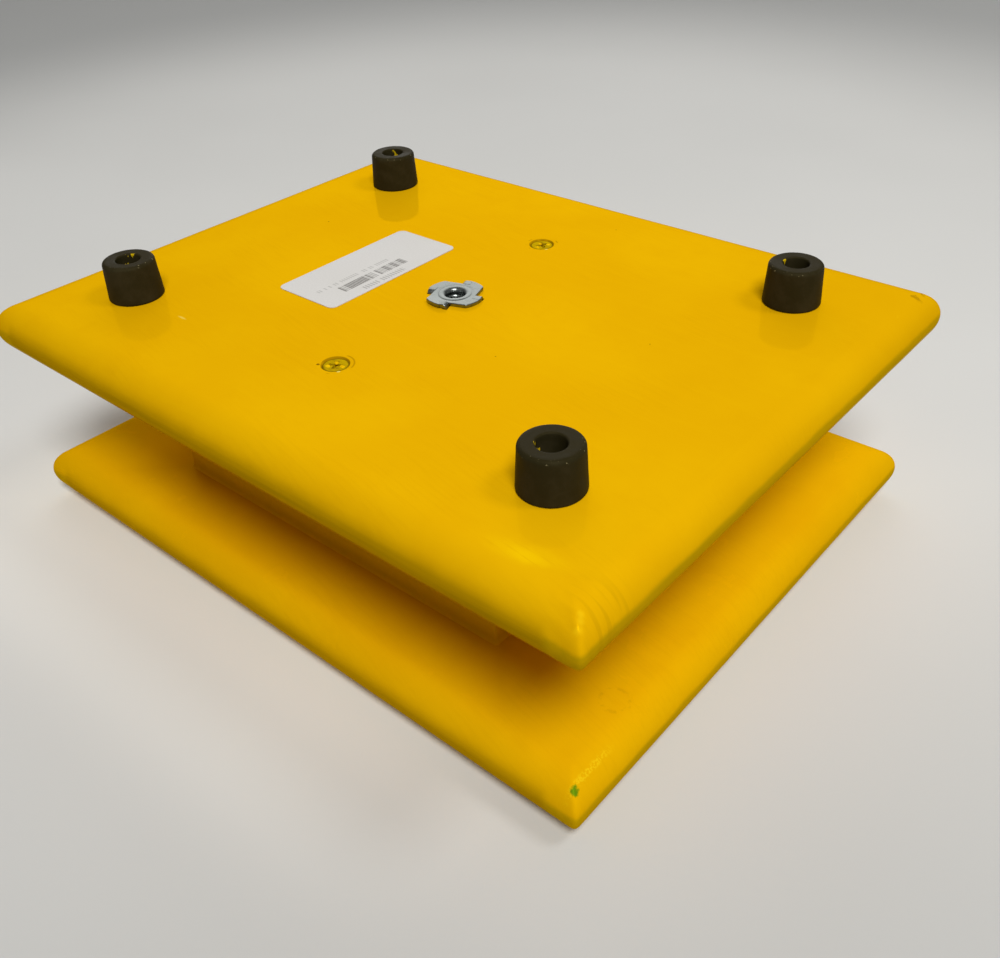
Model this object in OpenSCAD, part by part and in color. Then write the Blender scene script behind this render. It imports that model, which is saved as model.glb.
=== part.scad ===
// Practice pad: two half-round edged boards held apart by a block, shown resting on its playing
// board with the feet up. X runs along the boards, Z runs from the playing face to the feet.

/* [Boards] */
// Length of both boards
board_l = 254; // [220:1:300]
// Width of the base board, which carries the feet and the stand nut
base_w = 200; // [180:1:240]
// Width of the playing board
playing_w = 197; // [180:1:240]
// Thickness of each board, which is also the diameter of its half-round edge
board_t = 19.05; // [17:0.05:25]
// Distance between the two boards' centres along the length
slip_x = 3; // [0:0.5:6]

/* [Spacer block] */
// Length of the block
spacer_l = 148; // [126:1:180]
// Width of the block
spacer_w = 135; // [126:1:160]
// Height of the block, which is the gap between the boards
spacer_h = 44.45; // [38:0.05:60]

/* [Stand nut] */
// Diameter of the flange
flange_d = 20.4; // [19:0.1:24]
// Thickness of the flange and of the prongs bent down from it
flange_t = 1.3; // [1:0.1:1.6]
// Outer diameter of the barrel
barrel_d = 7.9; // [7.5:0.1:9]
// Length of the barrel below the flange
barrel_l = 14; // [10:0.5:16]
// Diameter of the threaded bore, drawn as a plain wall
thread_d = 6.35; // [5:0.05:6.5]
// Length of a prong below the flange
prong_l = 7; // [5:0.5:9]

/* [Feet] */
// Diameter of a foot where it meets the board
foot_base_d = 18.7; // [17:0.1:24]
// Diameter of a foot at its free end
foot_top_d = 17.5; // [15:0.1:20]
// Height of a foot
foot_h = 13.45; // [11:0.05:18]
// Radius of the rounded rim at the free end
foot_rim_r = 1.3; // [0.5:0.1:2]
// Diameter of the bore that takes the screw's head
foot_bore_d = 8.2; // [7.8:0.1:10]
// Thickness of rubber under the washer
foot_floor_t = 3.6; // [2.5:0.1:5]
// Distance between feet along the length
foot_span_x = 181; // [150:1:190]
// Distance between feet across the width
foot_span_y = 127; // [100:1:140]

/* [Screws] */
// Length of a board screw
board_screw_l = 45; // [40:1:50]
// Diameter of a board screw's countersunk head
board_head_d = 8.4; // [7.5:0.1:9.5]
// Length of a foot screw
foot_screw_l = 19; // [16:1:20]
// Diameter of a foot screw's pan head
foot_head_d = 7; // [6:0.1:7.4]

/* [Label] */
// Length of the label, across the boards
label_l = 61; // [40:1:80]
// Width of the label
label_w = 28; // [20:1:35]
// Radius of the label's corners
label_r = 2.5; // [1:0.5:5]
// Distance of the label's centre from the middle of the board
label_x = -40; // [-50:1:-30]

/* [Hidden] */
CORNERS = ["front_left", "front_right", "back_left", "back_right"];
ENDS = ["front", "back"];
SIDES = ["left", "right"];
$fn = 64;

// Heights of the faces that the pieces meet at
spacer_z = board_t;
base_z = board_t + spacer_h;
face_z = base_z + board_t;

// Centres of the boards: they are offset along the length, and flush along their back edges
base_x = slip_x / 2;
playing_x = -slip_x / 2;
playing_y = (base_w - playing_w) / 2;

// The feet and fixings were set by hand, so each has its own small drift
FOOT_DRIFT = [[-0.5, 0], [0, 0], [-2.5, 1], [-0.5, -0.5]];
FOOT_SIDE = [[-1, -1], [1, -1], [-1, 1], [1, 1]];
BASE_SCREW_SPOT = [[2, -54.5], [-2.5, 51.5]];
PLAYING_SCREW_SPOT = [[-50, 0], [50, 0]];
nut_spot = [0.5, 1];

// Clearance round each fastener, and the small overshoot of a cutting tool
slack = 0.1;
nick = 0.5;
// How far a drilled hole runs past a screw's point, and the width of that point
drill_past = 1;
tip_d = 0.6;

// Stand nut
flange_r = flange_d / 2;
flange_turn = 19;
notch_start = 44;
notch_root = [7.4, 0.9];
prong_w = 2.7;
prong_tip_w = 0.6;
mouth_h = 0.8;
mouth_d = barrel_d + 0.4;

// Board screws: clear shank, then the thread's core, then the point
shank_d = 4.2;
core_d = 3.2;
point_l = 4;
shank_l = 22;
board_head_h = 3.2;
head_sink = 0.4;
cross_l = 4.6;
cross_w = 1.1;
cross_depth = 2.2;
// Angle of the front screw's recess, and the step from one screw to the next
first_turn = 20;
next_turn = 30;

// Foot screws and washers
foot_core_d = 2.9;
foot_head_h = 2.4;
foot_cross_l = 3.6;
foot_cross_depth = 1.5;
washer_t = 1.2;
washer_hole_d = 3.8;
foot_heel_r = 0.6;

label_t = 0.2;

function foot_spot(i) = [
    base_x + FOOT_SIDE[i][0] * foot_span_x / 2 + FOOT_DRIFT[i][0],
    FOOT_SIDE[i][1] * foot_span_y / 2 + FOOT_DRIFT[i][1]
];

// ---- Boards ----

// Cross-section of a board: flat faces with half-round ends
module board_section(width) {
    translate([0, board_t / 2])
        square([width - board_t, board_t], center = true);
    for (side = [-1, 1])
        translate([side * (width - board_t) / 2, board_t / 2])
            circle(d = board_t, $fn = 96);
}

// A bar of that section along Y, centred on the origin and standing on Z = 0
module rounded_bar(width, length) {
    rotate([90, 0, 0])
        linear_extrude(height = length, center = true)
            board_section(width);
}

// Board whose half-round edges meet in mitred corners
module rounded_board(length, width) {
    intersection() {
        rounded_bar(length, width + 2 * nick);
        rotate(90)
            rounded_bar(width, length + 2 * nick);
    }
}

// Space for a board screw's head and shank, from a face at Z = 0 downwards
module screw_clearance() {
    translate([0, 0, -head_sink - board_head_h])
        cylinder(d1 = shank_d + 2 * slack, d2 = board_head_d + 2 * slack, h = board_head_h);
    translate([0, 0, -head_sink])
        cylinder(d = board_head_d + 2 * slack, h = head_sink + nick);
    translate([0, 0, -board_t - nick])
        cylinder(d = shank_d + 2 * slack, h = board_t + nick);
}

// Pilot hole for a board screw in the block, from the block's face at Z = 0 downwards
module screw_pilot() {
    translate([0, 0, board_t - head_sink - board_screw_l - drill_past])
        cylinder(d = core_d + 2 * slack, h = board_screw_l);
    translate([0, 0, board_t - head_sink - shank_l - slack])
        cylinder(d = shank_d + 2 * slack, h = shank_l);
}

module base_board() {
    color("gold")
        difference() {
            translate([base_x, 0, base_z])
                rounded_board(board_l, base_w);
            translate([nut_spot[0], nut_spot[1], face_z])
                nut_clearance();
            for (spot = BASE_SCREW_SPOT)
                translate([spot[0], spot[1], face_z])
                    screw_clearance();
            for (i = [0 : 3])
                translate([foot_spot(i)[0], foot_spot(i)[1], face_z])
                    foot_screw_pilot();
        }
}

module playing_board() {
    color("gold")
        difference() {
            translate([playing_x, playing_y, 0])
                rounded_board(board_l, playing_w);
            for (spot = PLAYING_SCREW_SPOT)
                translate([spot[0], spot[1], 0])
                    rotate([180, 0, 0])
                        screw_clearance();
        }
}

module spacer_block() {
    color("goldenrod")
        difference() {
            translate([-spacer_l / 2, -spacer_w / 2, spacer_z])
                cube([spacer_l, spacer_w, spacer_h]);
            for (spot = BASE_SCREW_SPOT)
                translate([spot[0], spot[1], base_z])
                    screw_pilot();
            for (spot = PLAYING_SCREW_SPOT)
                translate([spot[0], spot[1], spacer_z])
                    rotate([180, 0, 0])
                        screw_pilot();
        }
}

// ---- Stand nut ----

// Flange with four notches, each left where a prong was cut and bent down
module flange_outline() {
    difference() {
        circle(d = flange_d);
        for (turn = [0 : 90 : 270])
            rotate(turn)
                polygon([
                    notch_root,
                    [flange_r + 2, -nick],
                    [flange_r + 2, flange_r + 2],
                    [flange_r * cos(notch_start), flange_r * sin(notch_start)]
                ]);
    }
}

// One prong, hanging from the flange's underside beside its notch; grow widens it all round
module prong(grow) {
    root_x = notch_root[0];
    rotate([90, 0, 0])
        translate([0, 0, -grow])
            linear_extrude(height = flange_t + 2 * grow)
                polygon([
                    [root_x - grow, nick],
                    [root_x + prong_w + grow, nick],
                    [root_x + prong_w + grow, 0],
                    [root_x + (prong_w + prong_tip_w) / 2 + grow, -prong_l - grow],
                    [root_x + (prong_w - prong_tip_w) / 2 - grow, -prong_l - grow],
                    [root_x - grow, 0]
                ]);
}

module prongs(grow) {
    for (turn = [0 : 90 : 270])
        rotate(turn + flange_turn)
            prong(grow);
}

// Drilling and prong slots for the nut, from the board's face at Z = 0 downwards
module nut_clearance() {
    translate([0, 0, -board_t - nick])
        cylinder(d = barrel_d + 2 * slack, h = board_t + 2 * nick);
    prongs(slack);
}

module t_nut() {
    color("darkgray")
        translate([nut_spot[0], nut_spot[1], face_z])
            difference() {
                union() {
                    rotate(flange_turn)
                        linear_extrude(height = flange_t)
                            flange_outline();
                    translate([0, 0, -barrel_l])
                        cylinder(d = barrel_d, h = barrel_l + flange_t / 2);
                    prongs(0);
                }
                translate([0, 0, -barrel_l - nick])
                    cylinder(d = thread_d, h = barrel_l + flange_t + 2 * nick);
                translate([0, 0, flange_t - mouth_h])
                    cylinder(d1 = thread_d, d2 = mouth_d, h = mouth_h);
            }
}

// ---- Feet ----

// Half section of a foot: tapered wall with a rounded rim, a bore and a floor
module foot_section() {
    base_r = foot_base_d / 2;
    top_r = foot_top_d / 2;
    rim_z = foot_h - foot_rim_r;
    bore_r = foot_bore_d / 2;
    hole_r = foot_core_d / 2 + slack;
    polygon([
        [hole_r, 0],
        [base_r - foot_heel_r, 0],
        [base_r - foot_heel_r, foot_heel_r],
        [base_r, foot_heel_r],
        [top_r, rim_z],
        [top_r - foot_rim_r, rim_z],
        [top_r - foot_rim_r, foot_h],
        [bore_r, foot_h],
        [bore_r, foot_floor_t],
        [hole_r, foot_floor_t]
    ]);
    translate([top_r - foot_rim_r, rim_z])
        circle(r = foot_rim_r, $fn = 48);
    translate([base_r - foot_heel_r, foot_heel_r])
        circle(r = foot_heel_r, $fn = 32);
}

module foot(i) {
    color("dimgray")
        translate([foot_spot(i)[0], foot_spot(i)[1], face_z])
            rotate_extrude($fn = 96)
                foot_section();
}

module foot_washer(i) {
    color("silver")
        translate([foot_spot(i)[0], foot_spot(i)[1], face_z + foot_floor_t])
            difference() {
                cylinder(d = foot_bore_d - 2 * slack, h = washer_t);
                translate([0, 0, -nick])
                    cylinder(d = washer_hole_d, h = washer_t + 2 * nick);
            }
}

// ---- Screws ----

// Cross-shaped driver recess, from a head's top at Z = 0 downwards
module cross_recess(length, depth) {
    for (turn = [0, 90])
        rotate(turn)
            translate([-length / 2, -cross_w / 2, -depth])
                cube([length, cross_w, depth + nick]);
}

// Countersunk screw with its head's top at Z = 0, pointing down
module board_screw() {
    difference() {
        union() {
            translate([0, 0, -board_head_h])
                cylinder(d1 = shank_d, d2 = board_head_d, h = board_head_h);
            translate([0, 0, -shank_l])
                cylinder(d = shank_d, h = shank_l - board_head_h);
            translate([0, 0, point_l - board_screw_l])
                cylinder(d = core_d, h = board_screw_l - shank_l - point_l);
            translate([0, 0, -board_screw_l])
                cylinder(d1 = tip_d, d2 = core_d, h = point_l);
        }
        cross_recess(cross_l, cross_depth);
    }
}

module base_screw(i) {
    color("darkkhaki")
        translate([BASE_SCREW_SPOT[i][0], BASE_SCREW_SPOT[i][1], face_z - head_sink])
            rotate(first_turn + next_turn * i)
                board_screw();
}

module playing_screw(i) {
    color("darkkhaki")
        translate([PLAYING_SCREW_SPOT[i][0], PLAYING_SCREW_SPOT[i][1], head_sink])
            rotate([180, 0, next_turn * i])
                board_screw();
}

// Pilot hole for a foot screw, from the board's face at Z = 0 downwards
module foot_screw_pilot() {
    depth = foot_screw_l - foot_floor_t - washer_t + drill_past;
    translate([0, 0, -depth])
        cylinder(d = foot_core_d + 2 * slack, h = depth + nick);
}

// Pan-head screw whose head stands on the washer, pointing down
module foot_screw(i) {
    color("silver")
        translate([foot_spot(i)[0], foot_spot(i)[1], face_z + foot_floor_t + washer_t])
            rotate(next_turn * i)
                difference() {
                    union() {
                        cylinder(d = foot_head_d, h = foot_head_h);
                        translate([0, 0, point_l - foot_screw_l])
                            cylinder(d = foot_core_d, h = foot_screw_l - point_l);
                        translate([0, 0, -foot_screw_l])
                            cylinder(d1 = tip_d, d2 = foot_core_d, h = point_l);
                    }
                    translate([0, 0, foot_head_h])
                        cross_recess(foot_cross_l, foot_cross_depth);
                }
}

// ---- Label ----

// Rounded rectangle, built from bars and corner discs
module label_outline() {
    square([label_w, label_l - 2 * label_r], center = true);
    square([label_w - 2 * label_r, label_l], center = true);
    for (sx = [-1, 1], sy = [-1, 1])
        translate([sx * (label_w / 2 - label_r), sy * (label_l / 2 - label_r)])
            circle(r = label_r);
}

module label() {
    color("white")
        translate([label_x, 0, face_z])
            linear_extrude(height = label_t)
                label_outline();
}

base_board();
spacer_block();
playing_board();
t_nut();
label();
for (i = [0 : 3]) {
    foot(i);
    foot_washer(i);
    foot_screw(i);
}
for (i = [0 : 1]) {
    base_screw(i);
    playing_screw(i);
}
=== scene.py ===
"""Practice drum pad lying on its playing face, feet up: two yellow enamelled boards held apart by a block."""

import math

import bmesh
import bpy
import numpy as np
from mathutils import Matrix, Vector


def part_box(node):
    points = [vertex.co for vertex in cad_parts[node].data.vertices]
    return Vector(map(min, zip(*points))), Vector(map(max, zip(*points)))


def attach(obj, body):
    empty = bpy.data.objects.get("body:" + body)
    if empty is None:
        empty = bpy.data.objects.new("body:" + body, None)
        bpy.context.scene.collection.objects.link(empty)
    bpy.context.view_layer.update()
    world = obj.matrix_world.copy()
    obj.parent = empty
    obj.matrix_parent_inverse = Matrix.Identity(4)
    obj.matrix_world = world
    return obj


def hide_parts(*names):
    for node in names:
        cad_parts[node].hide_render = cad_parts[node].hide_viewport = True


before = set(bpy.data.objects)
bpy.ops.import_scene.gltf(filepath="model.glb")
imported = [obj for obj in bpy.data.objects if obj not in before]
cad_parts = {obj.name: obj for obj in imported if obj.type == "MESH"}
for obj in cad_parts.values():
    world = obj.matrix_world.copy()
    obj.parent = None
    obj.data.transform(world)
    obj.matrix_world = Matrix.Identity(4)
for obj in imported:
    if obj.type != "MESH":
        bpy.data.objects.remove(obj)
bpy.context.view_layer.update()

MM = 0.001
CORNERS = ("front_left", "front_right", "back_left", "back_right")
ENDS = ("front", "back")
SIDES = ("left", "right")

# Shapes that the CAD model leaves plain
MITRE_POWER = 12  # how square the boards' corners are in plan
ARC_STEPS = 14
FINE_STEP = 1.0 * MM
COARSE_STEP = 4.0 * MM
FINE_MARGIN = 24 * MM
NUT_TURN = math.radians(19)
LIFTED_LOBE = math.radians(266)  # the side of the nut that stands proud of the board
PAINT_SIDES = dict(zip(CORNERS, (140, 208, 120, 190)))  # where enamel ran into each foot, in degrees
FLOOR_HALF = 6.0

# Used in outlines, which are in millimetres
CRATER_R = 5.65
FOOT_BORE_R = 4.1
THREAD_PITCH = 1.27
WOOD_THREAD_PITCH = 1.7


# -------------------- camera


def make_camera():
    """The photograph's viewpoint: a direction, a distance, a target on the floor and a small roll."""
    azimuth, elevation, roll = map(math.radians, (41.88, 36.25, -2.586))
    target = Vector((4.53, 14.82, 0)) * MM
    distance = 398.37 * MM
    level = math.cos(elevation)
    back = Vector((math.sin(azimuth) * level, -math.cos(azimuth) * level, math.sin(elevation)))
    level_x = Vector((0, 0, 1)).cross(back).normalized()
    level_y = back.cross(level_x)
    right = level_x * math.cos(roll) + level_y * math.sin(roll)
    up = level_y * math.cos(roll) - level_x * math.sin(roll)
    data = bpy.data.cameras.new("camera")
    data.lens = 36.8
    data.sensor_width = 36
    data.clip_start, data.clip_end = 0.01, 20
    camera = bpy.data.objects.new("camera", data)
    bpy.context.scene.collection.objects.link(camera)
    axes = Matrix((right, up, back)).transposed().to_4x4()
    camera.matrix_world = Matrix.Translation(target + back * distance) @ axes
    bpy.context.scene.camera = camera


make_camera()


def middle_of(node):
    low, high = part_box(node)
    return (low + high) / 2


def above(node, height):
    """The point at that height on the upright line through a node's middle."""
    middle = middle_of(node)
    return Vector((middle.x, middle.y, height))


# -------------------- materials


class Shader:
    """A node material built up by short calls. Every method returns an output socket."""

    def __init__(self, name, **values):
        self.material = bpy.data.materials.new(name)
        self.material.use_nodes = True
        self.nodes = self.material.node_tree.nodes
        self.links = self.material.node_tree.links
        self.nodes.clear()
        self.output = self.nodes.new("ShaderNodeOutputMaterial")
        self.surface = self.nodes.new("ShaderNodeBsdfPrincipled")
        self.links.new(self.surface.outputs[0], self.output.inputs[0])
        self.set(**values)
        self.place = self.node("ShaderNodeTexCoord").outputs["Object"]

    def set(self, **values):
        """Sets inputs of the principled shader: base_color=..., roughness=... and so on."""
        for key, value in values.items():
            name = "Specular IOR Level" if key == "specular" else key.replace("_", " ").title()
            self.fill(self.surface.inputs[name], value)

    def fill(self, socket, value):
        if isinstance(value, bpy.types.NodeSocket):
            self.links.new(value, socket)
        elif isinstance(value, tuple) and socket.type == "RGBA":
            socket.default_value = (*value, 1)
        else:
            socket.default_value = value

    def node(self, kind, inputs=(), **props):
        made = self.nodes.new(kind)
        for key, value in props.items():
            setattr(made, key, value)
        for key, value in dict(inputs).items():
            self.fill(made.inputs[key], value)
        return made

    def stretch(self, factors, turn=0.0):
        """The position, turned about Z and scaled: a small factor makes a long streak along its axis."""
        at = self.place
        if turn:
            at = self.node("ShaderNodeMapping", {"Vector": at, "Rotation": (0, 0, turn)}).outputs[0]
        return self.node("ShaderNodeMapping", {"Vector": at, "Scale": factors}).outputs[0]

    def noise(self, scale, detail=2.0, at=None, rough=0.5):
        inputs = {"Vector": at or self.place, "Scale": scale, "Detail": detail, "Roughness": rough}
        return self.node("ShaderNodeTexNoise", inputs).outputs["Fac"]

    def math(self, operation, a, b=0.0, clamp=False):
        return self.node("ShaderNodeMath", {0: a, 1: b}, operation=operation, use_clamp=clamp).outputs[0]

    def ease(self, value, start, end, low=0.0, high=1.0):
        """A smooth step of value from low to high, as it goes from start to end."""
        inputs = {"Value": value, "From Min": start, "From Max": end, "To Min": low, "To Max": high}
        return self.node("ShaderNodeMapRange", inputs, interpolation_type="SMOOTHSTEP").outputs[0]

    def mix(self, factor, a, b):
        """Mixes two colours."""
        return self.node("ShaderNodeMix", {0: factor, 6: a, 7: b}, data_type="RGBA").outputs[2]

    def blend(self, factor, a, b):
        """Mixes two numbers."""
        return self.node("ShaderNodeMix", {0: factor, 2: a, 3: b}).outputs[0]

    def over(self, colour, mask, amount, tint):
        """Lays a tint over a colour, by that amount where the mask is 1."""
        return self.mix(self.math("MULTIPLY", mask, amount), colour, tint)

    def axis(self, index):
        return self.node("ShaderNodeSeparateXYZ", {0: self.place}).outputs[index]

    def vector(self, operation, *inputs):
        return self.node("ShaderNodeVectorMath", enumerate(inputs), operation=operation)

    def far(self, point, squeeze=(1, 1, 1)):
        """Distance from a point, with each axis weighted."""
        moved = self.vector("SUBTRACT", self.place, tuple(point)).outputs[0]
        scaled = self.vector("MULTIPLY", moved, squeeze).outputs[0]
        return self.vector("LENGTH", scaled).outputs["Value"]

    def past(self, node):
        """Distance outside a node's box in plan, taking the box as centred on the origin."""
        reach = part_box(node)[1]
        past_x = self.math("SUBTRACT", self.math("ABSOLUTE", self.axis(0)), reach.x)
        past_y = self.math("SUBTRACT", self.math("ABSOLUTE", self.axis(1)), reach.y)
        return self.math("MAXIMUM", past_x, past_y)

    def spot(self, point, radius, soft=0.35, squeeze=(1, 1, 1), ragged=0.0, grain=900):
        """1 near a point and 0 away from it; ragged breaks up its edge."""
        distance = self.far(point, squeeze)
        if ragged:
            wobble = self.math("MULTIPLY", self.math("SUBTRACT", self.noise(grain), 0.5), ragged * radius * 2)
            distance = self.math("ADD", distance, wobble)
        return self.ease(distance, radius * (1 - soft), radius * (1 + soft), 1.0, 0.0)

    def ring(self, point, radius, width, squeeze=(1, 1, 1)):
        """1 on a circle round a point, 0 away from it."""
        gap = self.math("ABSOLUTE", self.math("SUBTRACT", self.far(point, squeeze), radius))
        return self.ease(gap, width * 0.3, width, 1.0, 0.0)

    def both(self, a, b):
        return self.math("MULTIPLY", a, b)

    def any(self, a, b):
        return self.math("MAXIMUM", a, b)

    def bump(self, height, distance, normal=None):
        inputs = {"Height": height, "Distance": distance, "Strength": 1.0}
        if normal:
            inputs["Normal"] = normal
        return self.node("ShaderNodeBump", inputs).outputs[0]


def tinted_gloss(s, strength):
    """A mirror tinted like the paint: a metallic share that grows with the viewing angle."""
    fresnel = s.node("ShaderNodeFresnel", {"IOR": 1.5}).outputs[0]
    s.set(metallic=s.math("MULTIPLY", fresnel, strength, clamp=True), specular_tint=(1.0, 0.78, 0.15))


def enamel(name, board, haze, marks):
    """Brushed gloss enamel. marks(shader, colour) adds the board's own marks and returns the colour."""
    low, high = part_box(board)
    s = Shader(name, specular=0.0)
    tinted_gloss(s, 0.6)
    s.low, s.high = low, high
    radius = (high.z - low.z) / 2
    middle = (low + high) / 2
    # Strokes run along the boards, and across them on the two end edges
    along = s.noise(1.0, 3.0, s.stretch((22, 420, 420)))
    across = s.noise(1.0, 3.0, s.stretch((420, 22, 420)))
    off_x = s.math("ABSOLUTE", s.math("SUBTRACT", s.axis(0), middle.x))
    on_end = s.ease(off_x, high.x - middle.x - radius * 1.3, high.x - middle.x - radius * 0.9)
    strokes = s.blend(on_end, along, across)
    bristles = s.noise(1.0, 2.0, s.stretch((70, 1100, 300), 0.2))
    dragged = s.both(s.ease(s.noise(24, 2.0), 0.42, 0.62), s.ease(bristles, 0.45, 0.7))
    cloud = s.noise(16, 2.0)
    pooled = s.noise(60, 3.0, rough=0.6)
    colour = s.mix(s.ease(cloud, 0.35, 0.65), (0.755, 0.402, 0.0008), (0.785, 0.432, 0.001))
    colour = s.mix(s.ease(pooled, 0.4, 0.75, 0.0, 0.35), colour, (0.73, 0.38, 0.0006))
    colour = s.mix(s.ease(strokes, 0.5, 0.8, 0.0, 0.12), colour, (0.82, 0.48, 0.001))
    colour = s.over(colour, dragged, 0.1, (0.60, 0.30, 0.0006))
    # The coat is thinner round the lower side of the edges, and the darker first coat shows through.
    # Part of this colour stands in for the shade that the photograph shows there
    wander = s.math("MULTIPLY", s.math("SUBTRACT", s.noise(90, 2.0), 0.5), radius * 0.16)
    rise = s.math("ADD", s.math("SUBTRACT", s.axis(2), middle.z), wander)
    soft = s.ease(rise, radius * -0.1, radius * 0.62, 1.0, 0.0)
    sharp = s.ease(rise, radius * 0.05, radius * 0.26, 0.95, 0.0)
    upper_end = s.blend(on_end, soft, sharp)
    lower_end = s.ease(rise, radius * -0.86, radius * -0.6, 0.1, 1.0)
    thin = s.ease(strokes, 0.35, 0.65, 0.95, 0.75)
    first_coat_and_shade = s.mix(on_end, (0.43, 0.24, 0.0006), (0.49, 0.30, 0.0015))
    colour = s.mix(s.both(s.both(upper_end, lower_end), thin), colour, first_coat_and_shade)
    colour = marks(s, colour)
    normal = s.bump(s.noise(330, 2.0), 0.007 * MM)
    normal = s.bump(strokes, 0.007 * MM, normal)
    normal = s.bump(dragged, 0.003 * MM, normal)
    s.set(base_color=colour, normal=normal)
    s.set(roughness=s.ease(s.noise(75, 4.0), 0.45, 0.75, haze * 0.7, haze * 1.6))
    return s.material


def base_marks(s, colour):
    """Thick strokes by one corner, dark arcs, painted shade and glints round the screws, dots, a scratch,
    painted ridge shade and highlights.
    """
    top = s.high.z
    lane = s.noise(1.0, 3.0, s.stretch((50, 600, 60), 0.12), rough=0.6)
    for x, y, reach, amount in ((104.3, -88.0, 3.4, 0.42), (99.5, -88.4, 5.0, 0.3), (108, -85.5, 4, 0.2)):
        patch = s.spot((x * MM, y * MM, top), reach * MM, 0.6, (0.75, 1.8, 0.5), 0.25, 260)
        edge = s.ease(lane, 0.36, 0.52, 0.15, 1.0)
        colour = s.over(colour, s.both(patch, edge), amount, (0.93, 0.60, 0.001))
    flecks = s.ease(s.noise(420, 2.0), 0.52, 0.6)
    for end in ENDS:
        centre = above(f"base_screw_{end}", top)
        # Broken dark arcs along the edge of each screw's crater
        crater_arc = s.both(s.ring(centre, 5.75 * MM, 0.4 * MM), s.ease(s.noise(170, 2.0), 0.54, 0.6))
        colour = s.over(colour, crater_arc, 0.6, (0.36, 0.17, 0.001))
        shade = s.spot(centre + Vector((-0.3, 0.15, 0)) * MM, 4.55 * MM, 0.03, (1, 1, 0))
        dark = s.math("MULTIPLY", s.both(shade, s.ease(s.noise(300, 2.0), 0.3, 0.55, 0.4, 1.0)), 0.6)
        colour = s.mix(dark, colour, (0.20, 0.105, 0.001))
        # A painted glint on the near lip of each screw's crater
        crater_glint = s.spot(centre + Vector((3.9, -2.4, 0)) * MM, 0.5 * MM, 0.5, (1, 1, 0.3), 0.4)
        colour = s.mix(crater_glint, colour, (1.0, 0.93, 0.25))
    for x, y, size in ((-2.15, -57.9, 0.5), (38, -22, 0.22), (71, 12, 0.2), (-84, 20, 0.25), (12, 78, 0.2)):
        dot = s.spot((x * MM, y * MM, top), size * MM, 0.4, (1, 1, 0.3), 0.3)
        colour = s.over(colour, dot, 0.85, (0.16, 0.07, 0.002))
    scratch = s.spot((-62.3 * MM, -64.4 * MM, top), 0.9 * MM, 0.5, (0.5, 2.2, 0.3), 0.3)
    colour = s.over(colour, scratch, 0.6, (0.85, 0.66, 0.12))
    smudge = s.spot((121.2 * MM, 91.5 * MM, top - 1 * MM), 3.4 * MM, 0.5, (1.2, 1, 0.6), 0.5, 500)
    colour = s.over(colour, s.both(smudge, flecks), 0.55, (0.30, 0.15, 0.002))
    # Painted shade in stripes over the ridges that the brush left as it rounded the near corner, and one
    # painted highlight down the mitre
    ridge_shade = s.ease(s.noise(1.0, 1.0, s.stretch((45, 520, 45))), 0.46, 0.58)
    round_corner = s.spot((124.5 * MM, -88 * MM, top - 7 * MM), 7.5 * MM, 0.5, (1, 0.85, 1))
    colour = s.over(colour, s.both(round_corner, ridge_shade), 0.3, (0.50, 0.27, 0.0008))
    # Painted highlight: three bright spots down the mitre
    for x, y, z in ((123.6, -94.2, 79.9), (124.4, -95.4, 79.2), (125.2, -96.8, 78.2)):
        run = s.spot((x * MM, y * MM, z * MM), 0.95 * MM, 0.7, (1, 1, 0.8))
        colour = s.over(colour, run, 0.6, (1.0, 0.68, 0.01))
    # Painted highlights as bright dabs along the upper side of the right edge, near the back
    line = s.spot((121.3 * MM, 77 * MM, top - 4 * MM), 22 * MM, 0.3, (9, 1, 7))
    dabs = s.both(line, s.ease(s.noise(1.0, 3.0, s.stretch((900, 260, 900))), 0.6, 0.68))
    return s.over(colour, dabs, 0.8, (0.95, 0.66, 0.01))


def playing_marks(s, colour):
    """A chipped corner with green under the yellow, a chain of scuffs, a smudged ring and a thin dark patch
    that is partly painted shade.
    """
    edge_x = s.high.x - (s.high.z - s.low.z) / 2
    corner = Vector((s.high.x - 3.2 * MM, s.low.y + 3.6 * MM, s.high.z - 1.6 * MM))
    near_corner = s.spot(corner + Vector((0, 7 * MM, 1 * MM)), 9 * MM, 0.5, (2.2, 1, 1))
    grit = s.noise(1400, 2.0)
    line = s.math("ABSOLUTE", s.math("SUBTRACT", s.axis(0), edge_x + 5.2 * MM))
    on_line = s.ease(line, 0.3 * MM, 1.3 * MM, 1, 0)
    scuffs = s.both(s.both(near_corner, on_line), s.ease(grit, 0.48, 0.56))
    colour = s.over(colour, scuffs, 0.5, (0.92, 0.66, 0.01))
    chip = s.spot(corner, 1.5 * MM, 0.3, (1, 0.8, 1), 0.6, 1100)
    colour = s.mix(chip, colour, (0.13, 0.25, 0.004))
    smudge_edge = s.math("ABSOLUTE", s.math("SUBTRACT", s.far((113.6 * MM, -63.6 * MM, s.high.z)), 4.2 * MM))
    smudge = s.both(s.ease(smudge_edge, 0.2 * MM, 0.9 * MM, 1, 0), s.ease(s.noise(700), 0.45, 0.6))
    colour = s.over(colour, smudge, 0.2, (0.38, 0.19, 0.002))
    # Round the block's foot the brush could not reach well, and the coat is thin and dark.
    # Part of this colour stands in for the shade between the boards
    inner_face = s.ease(s.axis(2), s.high.z - 2 * MM, s.high.z - 0.3 * MM)
    thin = s.both(inner_face, s.ease(s.past("spacer_block"), -2 * MM, 24 * MM, 0.45, 0.0))
    return s.mix(thin, colour, (0.42, 0.19, 0.0008))


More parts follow.
